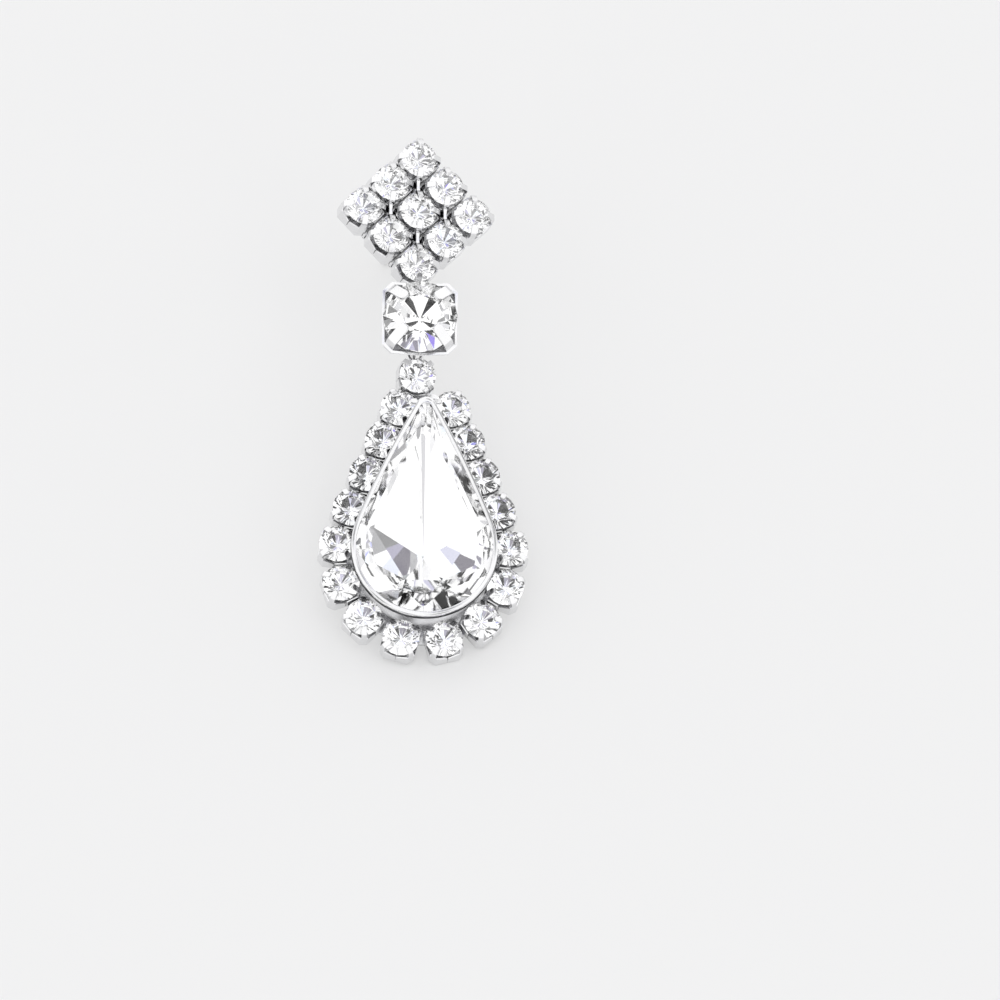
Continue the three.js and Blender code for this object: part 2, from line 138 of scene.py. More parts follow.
RIM_PROFILE = [
    # what the height starts from, distance out of the pear's outline, height
    ("back", -1.8, 0.05),
    ("back", -1.5, 0.05),
    ("back", -1.02, 1.25),
    ("girdle", -0.6, -0.85),
    ("girdle", -0.05, -0.56),
    ("girdle", 0.05, -0.44),
    ("girdle", 0.03, -0.36),
    ("girdle", 0.22, -0.35),
    ("girdle", 0.29, -0.32),
    ("girdle", 0.23, -0.02),
    ("girdle", 0.25, 0.04),
    ("edge", 0.26, 0.12),
    ("edge", 0.24, 0.2),
    ("edge", 0.18, 0.25),
    ("edge", -0.08, 0.31),
    ("edge", -0.14, 0.28),
    ("edge", -0.15, 0.18),
    ("edge", 0.06, 0.02),
    ("girdle", 0.06, -0.05),
    ("girdle", -0.85, -0.92),
]
RIM_STARTS = {"back": 0.0, "girdle": PEAR_GIRDLE_HEIGHT, "edge": PEAR_EDGE_HEIGHT}
GROOVE_DEPTH = 0.345

# Halo: its plate, and how its cups turn out of the pear's outline, in millimetres and degrees

PLATE_OUT = 1.7
PLATE_THICKNESS = 0.45
HALO_SINK = 0.55
HALO_FLARE = 1.9

# Wire eyes and jump rings: seat is an eye's middle beyond its cup, pitch the way from one eye to the next

EYE_RADIUS = 0.5
WIRE = 0.16
WIRE_STEPS = 40
WIRE_SIDES = 14
EYE_HEIGHT = 0.5
LARGE_EYE_HEIGHT = 0.62
EYE_SEAT = 0.42
EYE_PITCH = 1.4
CLUSTER_EYE = -(CLUSTER_PITCH + CLUSTER_CORNER) * math.sqrt(2) - EYE_SEAT
JUMP_GROWTH = 0.05
JUMP_SLACK = 0.12

# Pad and post, turned as one: the fillet's and the pad edge's rows are distances across and along

PAD_RADIUS = 3.0
PAD_THICKNESS = 0.5
PAD_GAP = 0.05
POST_RADIUS = 0.4
POST_LENGTH = 9.99
POST_SIDES = 48
AXIS_RADIUS = 0.01
POST_END_TURNS = (0.35, 0.7, 1.05, 1.35, math.pi / 2)
POST_FILLET = [(0, 0.15), (0.05, 0.05), (0.16, 0)]
PAD_EDGE = [(0.15, 0), (0.04, 0.05), (0, 0.15)]

# Creases sharper than these degrees stay sharp, flatter facets than one degree are joined,
# rounded edges are this wide, and points nearer than the merge distance, in metres, become one

SHEET_CREASE = 35
RIM_CREASE = 40
WIRE_CREASE = 60
FLAT_LIMIT = 1.0
SHEET_ROUND = 0.03
RIM_ROUND = 0.02
LARGE_ROUND = 0.05
MERGE_DISTANCE = 1e-7

# The photograph: its size in pixels, millimetres a pixel, and where the pear's round end has its middle
# The camera's elevation is in degrees, and its lens in millimetres

PICTURE_PIXELS = 1000
MM_PER_PIXEL = 0.0817
PEAR_PIXEL = (424.5, 546.5)
CAMERA_ELEVATION = 57.6
CAMERA_LENS = 250.0

# Studio: the floor's side in metres, and the light tent's brightness

FLOOR_SIDE = 3.0
TENT_STRENGTH = 1.27

# Dark gaps, violet gaps and small coloured sparks in the tent
# Each row is the azimuth from the front, the elevation and the half width, in degrees

TENT_GAPS = [
    (22, 36, 6), (-38, 45, 6), (33, 57, 5.5), (-111, 53, 5), (150, 60, 6), (-63, 65, 4),
    (-130, 38, 7), (-12, 22, 8), (70, 25, 8), (120, 32, 8), (-165, 30, 8), (105, 47, 5),
]
VIOLET_GAPS = [(4, 78.5, 6)]
SPARKS = [
    (173, 75.5, 0.6), (-56, 68, 1.6), (-42, 75, 1.6), (25, 62, 0.8),
    (-100, 66, 0.8), (110, 64, 0.8), (-150, 70, 0.8), (60, 76, 0.7),
]

# Their soft edges run this far outwards and inwards, as differences of the half width's cosine

GAP_EDGE = (0.012, 0.004)
SPARK_EDGE = (0.0003, 0.00002)

# A colour mix node's two colours and its result, which share their names with its other sockets

MIX_FIRST = 6
MIX_SECOND = 7
MIX_RESULT = 2


# Places read from the solids


def node_points(node):
    return [v.co.copy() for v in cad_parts[node].data.vertices]


def middle(points):
    return sum(points, Vector()) / len(points)


def table_normal(node):
    """The direction out of a stone's table, which is its largest flat face."""
    areas = {}
    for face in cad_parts[node].data.polygons:
        key = tuple(round(c, 2) for c in face.normal)
        area, normal = areas.get(key, (0.0, Vector()))
        areas[key] = (area + face.area, normal + face.normal * face.area)
    upward = [entry for entry in areas.values() if entry[1].z > TABLE_TILT * entry[0]]
    return max(upward, key=lambda entry: entry[0])[1].normalized()


def place(origin, out, across):
    """A frame in metres with z along out and x as near to across as it can be."""
    side = (across - out * across.dot(out)).normalized()
    up = out.cross(side)
    return Matrix((
        (side.x, up.x, out.x, origin.x),
        (side.y, up.y, out.y, origin.y),
        (side.z, up.z, out.z, origin.z),
        (0, 0, 0, 1),
    ))


def girdle_middle(node, gem, out):
    """The middle of a stone's girdle, found from its table, which is its highest face along out."""
    points = node_points(node)
    centre = middle(points)
    top = max(p.dot(out) for p in points)
    drop = (gem["girdle"] + gem["crown"]) * MM
    return centre + out * (top - drop - centre.dot(out))


def cup_place(node, gem, across):
    """The middle of a cup's back, under the stone that it holds."""
    out = table_normal(node)
    return place(girdle_middle(node, gem, out) - out * gem["height"] * MM, out, across)


def raised(matrix, height):
    """The frame moved along its own z, in millimetres."""
    return matrix @ Matrix.Translation((0, 0, height * MM))


def turned(matrix, degrees):
    """The frame turned round its own z."""
    return matrix @ Matrix.Rotation(math.radians(degrees), 4, "Z")


def pear_arcs():
    """Teardrop outline: its arcs from the round end to the tip, on the right side."""
    tip_middle = PEAR_TIP - PEAR_TIP_RADIUS
    reach = PEAR_SIDE_RADIUS - PEAR_RADIUS
    fall = reach**2 - (PEAR_SIDE_RADIUS - PEAR_TIP_RADIUS) ** 2
    bow_y = (fall + tip_middle**2) / (2 * tip_middle)
    bow_x = -math.sqrt(reach**2 - bow_y**2)
    start = math.atan2(-bow_y, -bow_x)
    end = math.atan2(tip_middle - bow_y, -bow_x)
    return [
        ((0, 0), PEAR_RADIUS, -math.pi / 2, start),
        ((bow_x, bow_y), PEAR_SIDE_RADIUS, start, end),
        ((0, tip_middle), PEAR_TIP_RADIUS, end, math.pi / 2),
    ]


def drop_frame():
    """The drop's frame: its origin is the middle of the pear's round end, on the cups' backs.

    The halo's first and last stones are beside the tip, and its two middle ones at the low end.
    """
    out = table_normal("pear_stone")
    middles = [middle(node_points(node)) for node in halo_nodes]
    backs = [girdle_middle(node, SMALL, out) - out * SMALL["height"] * MM for node in halo_nodes]
    up = (middles[0] + middles[15] - middles[7] - middles[8]).normalized()
    low_end = (backs[7] + backs[8]) / 2
    pear_low = min(p.dot(up) for p in node_points("pear_stone")) + PEAR_RADIUS * MM
    return place(low_end + up * (pear_low - low_end.dot(up)), out, middles[7] - middles[8])


def halo_across(node):
    """Outwards from the pear, round its end and along its straight sides."""
    spot = drop_place.inverted() @ middle(node_points(node)) / MM
    _, _, side_start, side_end = pear_arcs()[1]
    lean = (side_start + side_end) / 2 - math.radians(HALO_FLARE)
    turn = min(math.atan2(spot.y + HALO_SINK, abs(spot.x)), lean)
    local = Vector((math.copysign(math.cos(turn), spot.x), math.sin(turn), 0))
    return drop_place.to_3x3() @ local


halo_nodes = [f"halo_stone_{i:02d}" for i in range(1, 17)]
drop_place = drop_frame()
drop_right = drop_place.to_3x3() @ Vector((1, 0, 0))
halo_cups = [cup_place(node, SMALL, halo_across(node)) for node in halo_nodes]
top_cup = cup_place("top_stone", SMALL, drop_right)
large_cup = cup_place("large_stone", LARGE, drop_right)
cluster_nodes = [f"cluster_stone_{i}" for i in range(1, 10)]
cluster_right = middle(node_points(cluster_nodes[1])) - middle(node_points(cluster_nodes[0]))
cluster_cups = [cup_place(node, SMALL, cluster_right) for node in cluster_nodes]
cluster_block = cluster_cups[4]
cluster_place = turned(cluster_block, -45)


# Mesh making: shells are lists of points in millimetres with faces

FIRST_MATERIAL = 0
SECOND_MATERIAL = 1


class Shells:
    """Closed shells that become one mesh, each with one of its piece's materials."""

    def __init__(self):
        self.points = []
        self.faces = []
        self.materials = []

    def add(self, shell, matrix=Matrix.Identity(4), material=FIRST_MATERIAL):
        points, faces = shell
        first = len(self.points)
        self.points += [matrix @ (Vector(p) * MM) for p in points]
        self.faces += [[first + i for i in face] for face in faces]
        self.materials += [material] * len(faces)

    def mesh(self, name):
        data = bpy.data.meshes.new(name)
        data.from_pydata(self.points, [], self.faces)
        data.polygons.foreach_set("material_index", self.materials)
        work = bmesh.new()
        work.from_mesh(data)
        bmesh.ops.remove_doubles(work, verts=work.verts, dist=MERGE_DISTANCE)
        bmesh.ops.recalc_face_normals(work, faces=work.faces)
        work.to_mesh(data)
        work.free()
        return data


def mark_sharp(data, angle):
    """Smooth shading with sharp edges where faces meet at more than the angle."""
    work = bmesh.new()
    work.from_mesh(data)
    for face in work.faces:
        face.smooth = True
    for edge in work.edges:
        edge.smooth = edge.calc_face_angle(math.pi) < math.radians(angle)
    work.to_mesh(data)
    work.free()


def piece(name, data, replaced, materials):
    """One visible piece in place of the node that it replaces."""
    made = bpy.data.objects.new(name, data)
    bpy.context.scene.collection.objects.link(made)
    for material in materials:
        data.materials.append(material)
    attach(made, "root")
    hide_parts(replaced)
    return made


def rounded_edges(made, width, segments=2):
    """Rounds the edges where sheets meet, by a width in millimetres."""
    bevel = made.modifiers.new("rounded edges", "BEVEL")
    bevel.width = width * MM
    bevel.segments = segments
    bevel.limit_method = "ANGLE"
    bevel.angle_limit = math.radians(SHEET_CREASE)
    bevel.harden_normals = True


def metal_piece(name, shells, replaced, materials, crease=SHEET_CREASE):
    """A piece of plated metal with sharp creases."""
    data = shells.mesh(name)
    mark_sharp(data, crease)
    return piece(name, data, replaced, materials)


def ring(radius, height, count, phase=0.0):
    """Points round the z axis, the first one turned on by phase of a step."""
    turns = [(i + phase) / count * 2 * math.pi for i in range(count)]
    return [(radius * math.cos(t), radius * math.sin(t), height) for t in turns]


def loft(loops, round_trip):
    """Faces through loops of equally many points, closed on itself or by flat ends."""
    count = len(loops[0])
    points = [p for loop in loops for p in loop]
    rows = len(loops) if round_trip else len(loops) - 1
    faces = []
    for row in range(rows):
        a, b = row * count, (row + 1) % len(loops) * count
        for i in range(count):
            j = (i + 1) % count
            faces.append([a + i, a + j, b + j, b + i])
    if not round_trip:
        faces.append(list(range(count))[::-1])
        faces.append([(len(loops) - 1) * count + i for i in range(count)])
    return points, faces


# Cut stones


def cut_gem(gem):
    """Stamped glass cut: a table, a crown of stars and halves, a girdle and eight long facets below."""
    top = gem["girdle"] + gem["crown"]
    points = ring(gem["table"] + TABLE_CORNER, top, TABLE_SIDES)
    points += ring(gem["radius"], gem["girdle"], GIRDLE_SIDES)
    points += ring(gem["radius"], 0, GIRDLE_SIDES)
    low_radius = gem["radius"] * BLUNT_POINT["radius_share"]
    points += ring(low_radius, -gem["pavilion"] * BLUNT_POINT["depth_share"], TABLE_SIDES, 0.5)
    return points


def hull_mesh(name, points):
    """The flat facets round the points: glass, and foil as the second material on those that face down."""
    work = bmesh.new()
    for p in points:
        work.verts.new(Vector(p) * MM)
    hull = bmesh.ops.convex_hull(work, input=work.verts)
    loose = [v for v in hull["geom_interior"] if isinstance(v, bmesh.types.BMVert)]
    bmesh.ops.delete(work, geom=loose, context="VERTS")
    flat = math.radians(FLAT_LIMIT)
    bmesh.ops.dissolve_limit(work, angle_limit=flat, verts=work.verts, edges=work.edges)
    bmesh.ops.recalc_face_normals(work, faces=work.faces)
    for face in work.faces:
        face.material_index = SECOND_MATERIAL if face.normal.z < FOIL_TILT else FIRST_MATERIAL
    data = bpy.data.meshes.new(name)
    work.to_mesh(data)
    work.free()
    return data


def pear_loop(offset, height, steps=METAL_STEPS):
    """The pear's outline: grown by a positive offset, scaled down by a negative one."""
    grown = max(offset, 0)
    shrink = (PEAR_RADIUS + offset) / PEAR_RADIUS if offset < 0 else 1
    right = []
    for ((x, y), radius, start, end), count in zip(pear_arcs(), steps):
        for i in range(count):
            turn = start + (end - start) * i / count
            right.append((x + (radius + grown) * math.cos(turn), y + (radius + grown) * math.sin(turn)))
    left = [(-x, y) for x, y in reversed(right[1:])]
    outline = right + [(0, PEAR_TIP + grown)] + left
    return [(x * shrink, y * shrink, height) for x, y in outline]


def pear_gem_points():
    """Pear cut: a long table, a narrow crown, and a back with a keel to the tip and two low corners."""
    points = pear_loop(0, PEAR_EDGE_HEIGHT, GEM_STEPS)
    points += pear_loop(0, PEAR_GIRDLE_HEIGHT, GEM_STEPS)
    points += pear_loop(-PEAR_TABLE_INSET, PEAR_EDGE_HEIGHT + PEAR_CROWN, GEM_STEPS)
    points += pear_loop(-PEAR_BELLY["inset"], PEAR_GIRDLE_HEIGHT - PEAR_BELLY["depth"], BELLY_STEPS)
    points += [(0, along, PEAR_GIRDLE_HEIGHT - depth) for along, depth in PEAR_KEEL]
    low = PEAR_LOW_CORNER
    for side in (-1, 1):
        points.append((side * low["aside"], low["along"], PEAR_GIRDLE_HEIGHT - low["depth"]))
    return points


# Stamped cups and bent prongs


def strap(path, widths, thickness):
    """A flat strip that follows a path of radius and height, its inner side towards the stone."""
    points = []
    for i, (r, z) in enumerate(path):
        ahead = path[min(i + 1, len(path) - 1)]
        behind = path[max(i - 1, 0)]
        along = Vector((ahead[0] - behind[0], ahead[1] - behind[1])).normalized()
        inward = Vector((-along.y, along.x)) * thickness / 2
        half = widths[i] / 2
        for side, face in ((-1, -1), (1, -1), (1, 1), (-1, 1)):
            points.append((r + inward.x * face, side * half, z + inward.y * face))
    faces = [[3, 2, 1, 0]]
    for i in range(len(path) - 1):
        a = 4 * i
        for j in range(4):
            k = (j + 1) % 4
            faces.append([a + j, a + k, a + 4 + k, a + 4 + j])
    last = 4 * (len(path) - 1)
    faces.append([last, last + 1, last + 2, last + 3])
    return points, faces


def prong_strap(gem, prong, foot_radius):
    """Up the corner, round a bend at the girdle and down along the crown."""
    slant = Vector((gem["table"] - gem["radius"], gem["crown"])).normalized()
    out = Vector((slant.y, -slant.x))
    lift = SEAT + prong["thick"] / 2
    edge = Vector((gem["radius"], gem["height"] + gem["girdle"]))
    start = edge + out * lift
    bend = gem["radius"] + lift
    knee = start + slant * ((bend - start.x) / slant.x)
    turn = prong["thick"] * PRONG_BEND_SHARE
    foot = Vector((foot_radius, prong["foot"]))
    rise = (knee - foot).normalized()
    first = knee - rise * turn
    last = knee + slant * turn
    path = [foot, (foot + first) / 2]
    for i in range(PRONG_BEND_STEPS):
        t = i / (PRONG_BEND_STEPS - 1)
        path.append(first * (1 - t) ** 2 + knee * 2 * t * (1 - t) + last * t**2)
    widths = [prong["width"]] * len(path)
    tip = gem["radius"] - prong["lap"]
    reach = (tip - last.x) / slant.x
    for way, width in PRONG_TIP:
        path.append(last + slant * reach * way)
        widths.append(prong["width"] * width)
    return strap([tuple(p) for p in path], widths, prong["thick"])


def corner_sheet(cup):
    """The part of a cup's wall that a prong grows from, with a sloping edge down to the notch."""
    half, slit, cut, sheet = cup["half"], cup["slit"], cup["cut"], cup["sheet"]
    plan = [(half, slit), (half, half - cut), (half - cut, half), (slit, half)]
    inner_cut = cut - sheet * INNER_CUT_SHARE
    inside = half - sheet
    inner = [(inside, slit), (inside, inside - inner_cut), (inside - inner_cut, inside), (slit, inside)]
    tops = [cup["notch"], cup["shoulder"], cup["shoulder"], cup["notch"]]
    points = []
    for (x, y), (u, v), top in zip(plan, inner, tops):
        points += [(x, y, 0), (x, y, top), (u, v, top), (u, v, 0)]
    faces = [[0, 1, 2, 3], [15, 14, 13, 12]]
    for i in range(3):
        a = 4 * i
        for j in range(4):
            k = (j + 1) % 4
            faces.append([a + j, a + 4 + j, a + 4 + k, a + k])
    return points, faces


def square_loop(half, cut, wall_height, corner_height):
    """A square with cut corners, each of its sides with a point in the middle."""
    short = half - cut
    plan = [(half, 0, wall_height), (half, short, corner_height), (short, half, corner_height)]
    loop = []
    for quarter in range(4):
        turn = Matrix.Rotation(quarter * math.pi / 2, 3, "Z")
        for x, y, height in plan:
            p = turn @ Vector((x, y, 0))
            loop.append((p.x, p.y, height))
    return loop


def corner_radius(cup, prong):
    """From a cup's middle to the middle of a prong's sheet on its cut corner."""
    return (cup["half"] - cup["cut"] / 2) * math.sqrt(2) - prong["thick"] / 2


def add_small_cup(shells, matrix, cup=SMALL_CUP, prong=SMALL_PRONG, prong_material=FIRST_MATERIAL):
    """Four corner sheets with a prong each, on a floor."""
    prong_shell = prong_strap(SMALL, prong, corner_radius(cup, prong))
    for quarter in range(4):
        wall = matrix @ Matrix.Rotation(quarter * math.pi / 2, 4, "Z")
        shells.add(corner_sheet(cup), wall)
        shells.add(prong_shell, wall @ Matrix.Rotation(math.pi / 4, 4, "Z"), prong_material)
    floor = [square_loop(cup["half"] - FLOOR_INSET, cup["cut"], z, z) for z in (0.0, cup["floor"])]
    shells.add(loft(floor, False), matrix)


def slab(half_width, half_length, height):
    """A flat block that stands on z 0."""
    w, n = half_width, half_length
    return loft([[(w, -n, z), (w, n, z), (-w, n, z), (-w, -n, z)] for z in (0.0, height)], False)


# Wire


def wire_eye(centre, axis="X"):
    """A round wire ring that stands along the earring, or lies flat with its axis along z."""
    points, faces = [], []
    for i in range(WIRE_STEPS):
        turn = i / WIRE_STEPS * 2 * math.pi
        for j in range(WIRE_SIDES):
            tube = j / WIRE_SIDES * 2 * math.pi
            reach = EYE_RADIUS + WIRE * math.cos(tube)
            x, y, z = WIRE * math.sin(tube), reach * math.cos(turn), reach * math.sin(turn)
            if axis == "Z":
                x, y, z = y, z, x
            points.append((centre[0] + x, centre[1] + y, centre[2] + z))
    for i in range(WIRE_STEPS):
        for j in range(WIRE_SIDES):
            a, b = i * WIRE_SIDES, (i + 1) % WIRE_STEPS * WIRE_SIDES
            k = (j + 1) % WIRE_SIDES
            faces.append([a + j, b + j, b + k, a + k])
    return points, faces


def eye_piece(name, spots, matrix, replaced, silver):
    """Wire eyes at the spots, as one piece."""
    shells = Shells()
    for spot in spots:
        shells.add(wire_eye(spot), matrix)
    metal_piece(name, shells, replaced, [silver], WIRE_CREASE)


def drop_eye_spot():
    """The drop's eye above its top cup, in the drop's frame."""
    top = drop_place.inverted() @ top_cup.translation / MM
    return top.x, top.y + SMALL_CUP["half"] + EYE_SEAT, EYE_HEIGHT


def eye_spots():
    """The four wire eyes from the drop to the cluster, in the drop's frame in millimetres."""
    into = drop_place.inverted()
    large = into @ large_cup.translation / MM
    cluster_eye = into @ cluster_place @ Vector((0, CLUSTER_EYE * MM, EYE_HEIGHT * MM)) / MM
    drop_eye = Vector(drop_eye_spot())
    lower = Vector((large.x, drop_eye.y + EYE_PITCH, LARGE_EYE_HEIGHT))
    upper = Vector((large.x, cluster_eye.y - EYE_PITCH, LARGE_EYE_HEIGHT))
    return drop_eye, lower, upper, cluster_eye


def jump_ring(name, start, end, silver):
    """An oval ring that lies flat through two eyes."""
    stretch = (end - start).length + JUMP_SLACK - 2 * (EYE_RADIUS + JUMP_GROWTH)
    points, faces = wire_eye((0, 0, 0), "Z")
    oval = []
    for x, y, z in points:
        reach = math.hypot(x, y)
        grow = (reach + JUMP_GROWTH) / reach
        y_shift = stretch / 2 * (1 if y >= 0 else -1)
        oval.append((x * grow, y * grow + y_shift, z))
    along = (end - start).normalized()
    turn = Vector((0, 1, 0)).rotation_difference(along).to_matrix().to_4x4()
    centre = Matrix.Translation((start + end) / 2 * MM)
    shells = Shells()
    shells.add((oval, faces), drop_place @ centre @ turn)
    metal_piece(name, shells, name.replace("_ring", "_link"), [silver], WIRE_CREASE)


# Whole pieces


def add_bridges(shells):
    """Where four cups meet, the prongs of the upper and the lower cup touch over the gap."""
    reach, height, foot = BRIDGE["reach"], BRIDGE["height"], BRIDGE["foot"]
    shoulder = reach * BRIDGE["shoulder"]
    waist = (0, height - BRIDGE["sag"])
    path = [(-reach, foot), (-shoulder, height), waist, (shoulder, height), (reach, foot)]
    widths = [BRIDGE["waist"] if r == 0 else BRIDGE["width"] for r, _ in path]
    apart = CLUSTER_PITCH / math.sqrt(2)
    for x, y in ((apart, 0), (-apart, 0), (0, apart), (0, -apart)):
        spot = cluster_place @ Matrix.Translation((x * MM, y * MM, 0))
        upright = spot @ Matrix.Rotation(math.pi / 2, 4, "Z")
        # The bridges take the plating's copy with lighter painted shade.
        shells.add(strap(path, widths, BRIDGE["thick"]), upright, SECOND_MATERIAL)


def cluster_metal(silver, lightly_shaded):
    """Nine cups on a plate, soldered together along their walls, and the eye at the lowest corner.

    The prongs have a copy of the plating with lighter painted shade, so that they show between the stones.
    """
    shells = Shells()
    for cup in cluster_cups:
        # The prongs take the plating's copy with lighter painted shade.
        add_small_cup(shells, cup, CLUSTER_CUP, CLUSTER_PRONG, SECOND_MATERIAL)
    add_bridges(shells)
    side = CLUSTER_PITCH + CLUSTER_PLATE["edge"]
    shells.add(slab(side, side, CLUSTER_PLATE["thick"]), cluster_block)
    for quarter in range(4):
        facing = cluster_block @ Matrix.Rotation(quarter * math.pi / 2, 4, "Z")
        seam = facing @ Matrix.Translation((CLUSTER_PITCH / 2 * MM, 0, 0))
        shells.add(slab(SOLDER["width"] / 2, side, SOLDER["height"]), seam)
    rounded_edges(metal_piece("cluster_cups", shells, "cluster_setting", [silver, lightly_shaded]), SHEET_ROUND)
    eye_piece("cluster_eye", [(0, CLUSTER_EYE, EYE_HEIGHT)], cluster_place, "cluster_setting", silver)


def paint_groove_shadow(data):
    """The second material, a painted shadow, in the groove round the rim's foot."""
    into = drop_place.inverted()
    for face in data.polygons:
        spot = into @ face.center / MM
        outside = (into.to_3x3() @ face.normal).dot(Vector((spot.x, spot.y, 0))) > 0
        # Painted shadow: the rim's outer foot, under the girdle, gets the dark material.
        if PEAR_GIRDLE_HEIGHT - GROOVE_DEPTH < spot.z < PEAR_GIRDLE_HEIGHT and outside:
            face.material_index = SECOND_MATERIAL


def drop_metal(silver, groove_shadow):
    """The halo's cups and the top cup on a plate, the pear's rim and the eye."""
    cups = Shells()
    for cup in [*halo_cups, top_cup]:
        add_small_cup(cups, cup)
    plate = [pear_loop(PLATE_OUT, 0.0), pear_loop(PLATE_OUT, PLATE_THICKNESS)]
    cups.add(loft(plate, False), drop_place)
    rounded_edges(metal_piece("halo_cups", cups, "drop_setting", [silver]), SHEET_ROUND)
    rim = Shells()
    loops = [pear_loop(out, RIM_STARTS[start] + height) for start, out, height in RIM_PROFILE]
    rim.add(loft(loops, True), drop_place)
    bezel = metal_piece("pear_bezel", rim, "drop_setting", [silver, groove_shadow], RIM_CREASE)
    paint_groove_shadow(bezel.data)
    rounded_edges(bezel, RIM_ROUND)
    eye_piece("drop_eye", [drop_eye_spot()], drop_place, "drop_setting", silver)


def large_metal(silver):
    """The large stone's tapered cup with its four straps."""
    cup = LARGE_CUP
    shells = Shells()
    inside = cup["half"] - cup["sheet"]
    base_cut = cup["cut"] * cup["base"] / cup["half"]
    inner_base = cup["base"] - cup["sheet"] + cup["ease"]
    loops = [
        square_loop(cup["base"], base_cut, cup["back"], cup["back"]),
        square_loop(cup["half"], cup["cut"], cup["wall"], cup["corner"]),
        square_loop(inside, cup["cut"] - cup["ease"], cup["wall"], cup["corner"]),
        square_loop(inner_base, base_cut, cup["floor"], cup["floor"]),
    ]
    shells.add(loft(loops, False), large_cup)
    foot_radius = corner_radius(cup, LARGE_PRONG) - cup["ease"]
    for quarter in range(4):
        corner = large_cup @ Matrix.Rotation((quarter + 0.5) * math.pi / 2, 4, "Z")
        shells.add(prong_strap(LARGE, LARGE_PRONG, foot_radius), corner)
    made = metal_piece("large_cup", shells, "large_setting", [silver])
    rounded_edges(made, LARGE_ROUND, segments=3)


def links(silver):
    """The large setting's two eyes, and the jump rings to the drop's and the cluster's."""
    drop_eye, lower_eye, upper_eye, cluster_eye = eye_spots()
    eye_piece("large_eyes", (lower_eye, upper_eye), drop_place, "large_setting", silver)
    jump_ring("lower_ring", drop_eye, lower_eye, silver)
    jump_ring("upper_ring", upper_eye, cluster_eye, silver)


def stud_post(silver):
    """A round pad and a plain post with a rounded end, turned as one."""
    back = PAD_GAP + PAD_THICKNESS
    end = back + POST_LENGTH
    r = POST_RADIUS
    profile = [(AXIS_RADIUS, -end)]
    profile += [(r * math.sin(turn), -end + r - r * math.cos(turn)) for turn in POST_END_TURNS]
    profile += [(r + out, -back - behind) for out, behind in POST_FILLET]
    profile += [(PAD_RADIUS - inset, -back + ahead) for inset, ahead in PAD_EDGE]
    profile += [(PAD_RADIUS, -PAD_GAP), (AXIS_RADIUS, -PAD_GAP)]
    shells = Shells()
    shells.add(loft([ring(radius, height, POST_SIDES) for radius, height in profile], False), cluster_place)
    rounded_edges(metal_piece("stud_post", shells, "ear_post", [silver]), SHEET_ROUND)


def set_stones(glass, foil):
    """The small stones share one cut, each turned and leaning by its place in the list."""
    small = hull_mesh("small_stone", cut_gem(SMALL))
    named = list(zip(halo_nodes, halo_cups)) + list(zip(cluster_nodes, cluster_cups))
    named.append(("top_stone", top_cup))
    for i, (node, cup) in enumerate(named):
        lean_turn = STONE_LEAN_STEP * i
        lean_axis = Vector((math.cos(lean_turn), math.sin(lean_turn), 0))
        lean = Matrix.Rotation(math.radians(STONE_LEAN), 4, lean_axis)
        cut = small.copy()
        cut.transform(turned(raised(cup, SMALL["height"]) @ lean, STONE_TURN * i % STONE_TURN_LIMIT))
        piece(f"{node}_cut", cut, node, [glass, foil])
    large = hull_mesh("large_stone_cut", cut_gem(LARGE))
    large.transform(raised(large_cup, LARGE["height"]))
    piece("large_stone_cut", large, "large_stone", [glass, foil])
    pear = hull_mesh("pear_stone_cut", pear_gem_points())
    pear.transform(drop_place)
    piece("pear_stone_cut", pear, "pear_stone", [glass, foil])


# Materials


def grey(tone, blue=1.0):
    """A grey colour, with its blue a little stronger or not."""
    return (tone, tone, tone * blue, 1)


def new_material(name):
    """An empty material, its node tree and its shader."""
    material = bpy.data.materials.new(name)
    material.use_nodes = True
    return material, material.node_tree, material.node_tree.nodes["Principled BSDF"]


def group(name, sockets):
    """A node group whose sockets are rows of label, kind, way and first value."""
    made = bpy.data.node_groups.new(name, "ShaderNodeTree")
    for label, kind, way, value in sockets:
        socket = made.interface.new_socket(label, in_out=way, socket_type=kind)
        if value is not None:
            socket.default_value = value
    return made, made.nodes.new("NodeGroupInput"), made.nodes.new("NodeGroupOutput")


def placed_group(tree, effect):
    node = tree.nodes.new("ShaderNodeGroup")
    node.node_tree = effect
    return node


def maths(tree, operation, first, second):
    """A maths node whose inputs are numbers or other nodes' outputs."""
    node = tree.nodes.new("ShaderNodeMath")
    node.operation = operation
    for socket, value in zip(node.inputs, (first, second)):
        if isinstance(value, (int, float)):
            socket.default_value = value
        else:
            tree.links.new(value, socket)
    return node.outputs[0]


def noise(tree, scale, detail, stretch=(1, 1, 1)):
    """Noise fixed to the piece, in units of a metre."""
    coordinates = tree.nodes.new("ShaderNodeTexCoord")
    mapping = tree.nodes.new("ShaderNodeMapping")
    mapping.inputs["Scale"].default_value = stretch
    tree.links.new(coordinates.outputs["Object"], mapping.inputs["Vector"])
    node = tree.nodes.new("ShaderNodeTexNoise")
    node.inputs["Detail"].default_value = detail
    if isinstance(scale, (int, float)):
        node.inputs["Scale"].default_value = scale
    else:
        tree.links.new(scale, node.inputs["Scale"])
    tree.links.new(mapping.outputs["Vector"], node.inputs["Vector"])
    return node.outputs["Fac"]


def colour_ramp(tree, value, stops):
    """A ramp whose stops are rows of position and colour."""
    node = tree.nodes.new("ShaderNodeValToRGB")
    first, last = node.color_ramp.elements
    first.position, first.color = stops[0]
    last.position, last.color = stops[-1]
    for position, colour in stops[1:-1]:
        node.color_ramp.elements.new(position).color = colour
    tree.links.new(value, node.inputs["Fac"])
    return node.outputs["Color"]


